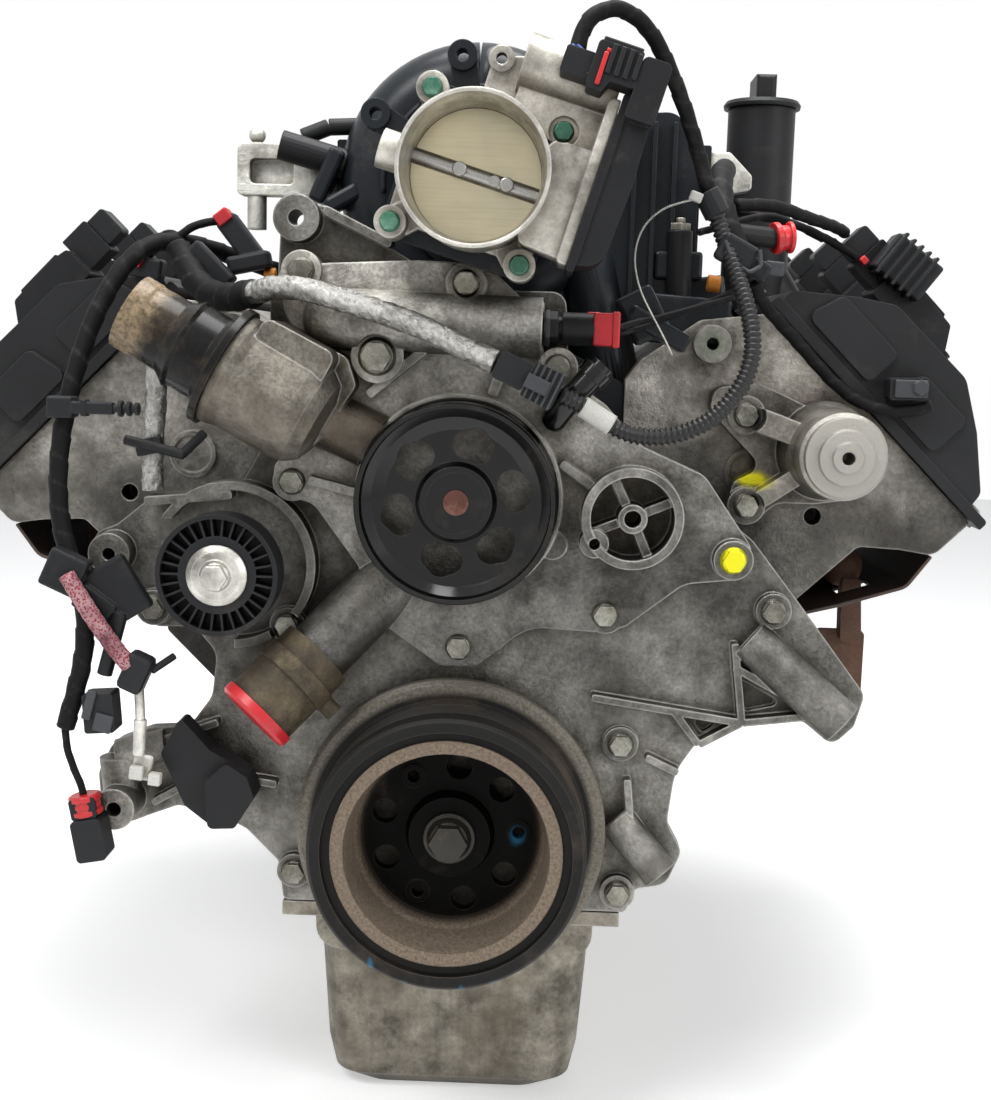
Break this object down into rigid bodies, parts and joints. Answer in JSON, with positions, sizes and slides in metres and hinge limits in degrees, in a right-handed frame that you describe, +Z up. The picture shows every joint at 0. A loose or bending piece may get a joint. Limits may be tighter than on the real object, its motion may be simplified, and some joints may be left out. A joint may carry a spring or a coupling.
{
  "type": "car engine",
  "caption": "V engine with timing cover, crank damper, cooling pump, idler, throttle, plastic intake and covers, and wiring loom",
  "frame": {"origin": "on the crank axis at the block's rear face", "axes": "+X to the right seen from the front, the front faces -Y, +Z up"},
  "size_m": [0.7378, 0.685, 0.776],
  "materials": {
    "bypass_hose": "satin",
    "cam_sprocket": "machined",
    "camshaft": "machined",
    "coolant_neck": "black, rusty end",
    "crank_sprocket": "machined",
    "crankshaft": "machined",
    "cylinder_head_left": "cast, oily",
    "cylinder_head_right": "cast, oily",
    "damper_bolt": "dark",
    "damper_hub": "black coating",
    "damper_ring": "black coating",
    "damper_rubber": "matte",
    "engine_block": "cast",
    "exhaust_manifold_left": "rusty",
    "exhaust_manifold_right": "rusty",
    "front_flange_bolts": "plated",
    "front_seal": "matte",
    "head_gaskets": "matte",
    "heat_shields": "heat stained",
    "idler_bearing": "machined",
    "idler_bolt": "plated",
    "idler_pulley": "moulded",
    "ignition_coils": "moulded",
    "inlet_cap": "red",
    "inlet_coupling": "rusty",
    "intake_manifold": "moulded",
    "loom_arch": "matte",
    "loom_conduit": "moulded",
    "loom_connectors": "moulded",
    "loom_foil": "foil tape",
    "loom_left": "tape",
    "loom_right": "tape",
    "lower_sensor": "satin",
    "main_bearing_caps": "cast",
    "main_bearing_shells": "machined",
    "oil_filler_cap": "moulded",
    "oil_filler_neck": "moulded",
    "oil_pan": "cast, stained",
    "oil_pan_bolts": "plated",
    "oil_pump": "cast",
    "pulley_bracket": "cast",
    "pump_housing": "cast, stained",
    "pump_impeller": "cast",
    "pump_pulley": "gloss black",
    "pump_shaft": "rusty end",
    "silver_brackets": "die cast",
    "temperature_sensor": "moulded",
    "thermostat_housing": "cast, stained",
    "throttle_body": "cast and machined",
    "throttle_bolts": "green plated",
    "throttle_connector": "moulded",
    "throttle_gear_cover": "moulded",
    "throttle_plate": "satin",
    "throttle_screws": "machined",
    "throttle_shaft": "machined",
    "timing_chain": "oiled",
    "timing_cover": "cast, stained",
    "valve_cover_bolts": "plated",
    "valve_cover_left": "moulded",
    "valve_cover_right": "moulded"
  },
  "bodies": {
    "engine": {"bypass_hose": "bypass_hose", "coolant_neck": "coolant_neck", "cylinder_head_left": "cylinder_head_left", "cylinder_head_right": "cylinder_head_right", "engine_block": "engine_block", "exhaust_manifold_left": "exhaust_manifold_left", "exhaust_manifold_right": "exhaust_manifold_right", "front_flange_bolts": "front_flange_bolts", "front_seal": "front_seal", "head_gaskets": "head_gaskets", "heat_shields": "heat_shields", "idler_bolt": "idler_bolt", "ignition_coils": "ignition_coils", "inlet_cap": "inlet_cap", "inlet_coupling": "inlet_coupling", "intake_manifold": "intake_manifold", "loom_arch": "loom_arch", "loom_conduit": "loom_conduit", "loom_connectors": "loom_connectors", "loom_foil": "loom_foil", "loom_left": "loom_left", "loom_right": "loom_right", "lower_sensor": "lower_sensor", "main_bearing_caps": "main_bearing_caps", "main_bearing_shells": "main_bearing_shells", "oil_filler_neck": "oil_filler_neck", "oil_pan": "oil_pan", "oil_pan_bolts": "oil_pan_bolts", "oil_pump": "oil_pump", "pulley_bracket": "pulley_bracket", "pump_housing": "pump_housing", "silver_brackets": "silver_brackets", "temperature_sensor": "temperature_sensor", "thermostat_housing": "thermostat_housing", "throttle_body": "throttle_body", "throttle_bolts": "throttle_bolts", "throttle_connector": "throttle_connector", "throttle_gear_cover": "throttle_gear_cover", "timing_chain": "timing_chain", "timing_cover": "timing_cover", "valve_cover_bolts": "valve_cover_bolts", "valve_cover_left": "valve_cover_left", "valve_cover_right": "valve_cover_right"},
    "crank": {"crankshaft": "crankshaft", "crank_sprocket": "crank_sprocket", "damper_hub": "damper_hub", "damper_rubber": "damper_rubber", "damper_ring": "damper_ring", "damper_bolt": "damper_bolt"},
    "cam": {"camshaft": "camshaft", "cam_sprocket": "cam_sprocket"},
    "pump_rotor": {"pump_shaft": "pump_shaft", "pump_impeller": "pump_impeller", "pump_pulley": "pump_pulley"},
    "idler": {"idler_pulley": "idler_pulley", "idler_bearing": "idler_bearing"},
    "throttle": {"throttle_shaft": "throttle_shaft", "throttle_plate": "throttle_plate", "throttle_screws": "throttle_screws"},
    "filler_cap": {"oil_filler_cap": "oil_filler_cap"}
  },
  "joints": [
    {"name": "crank_spin", "type": "hinge", "parent": "engine", "child": "crank", "pos_m": [0, -0.26, 0], "axis": [0, 1, 0], "continuous": true},
    {"name": "cam_spin", "type": "hinge", "parent": "engine", "child": "cam", "pos_m": [0, -0.26, 0.15], "axis": [0, 1, 0], "continuous": true},
    {"name": "pump_spin", "type": "hinge", "parent": "engine", "child": "pump_rotor", "pos_m": [0, -0.62, 0.225], "axis": [0, 1, 0], "continuous": true},
    {"name": "idler_spin", "type": "hinge", "parent": "engine", "child": "idler", "pos_m": [-0.15, -0.63, 0.175], "axis": [0, 1, 0], "continuous": true},
    {"name": "throttle_turn", "type": "hinge", "parent": "engine", "child": "throttle", "pos_m": [0.008, -0.643, 0.425], "axis": [0.9563, 0, -0.2924], "range_deg": [0, 82], "stiffness_Nm_per_rad": 0.3},
    {"name": "cap_turn", "type": "hinge", "parent": "engine", "child": "filler_cap", "pos_m": [0.224, -0.32, 0.52], "axis": [0, 0, 1], "range_deg": [0, 90]}
  ],
  "couplings": [
    {"joint": "cam_spin", "follows": "crank_spin", "ratio": 0.5}
  ]
}
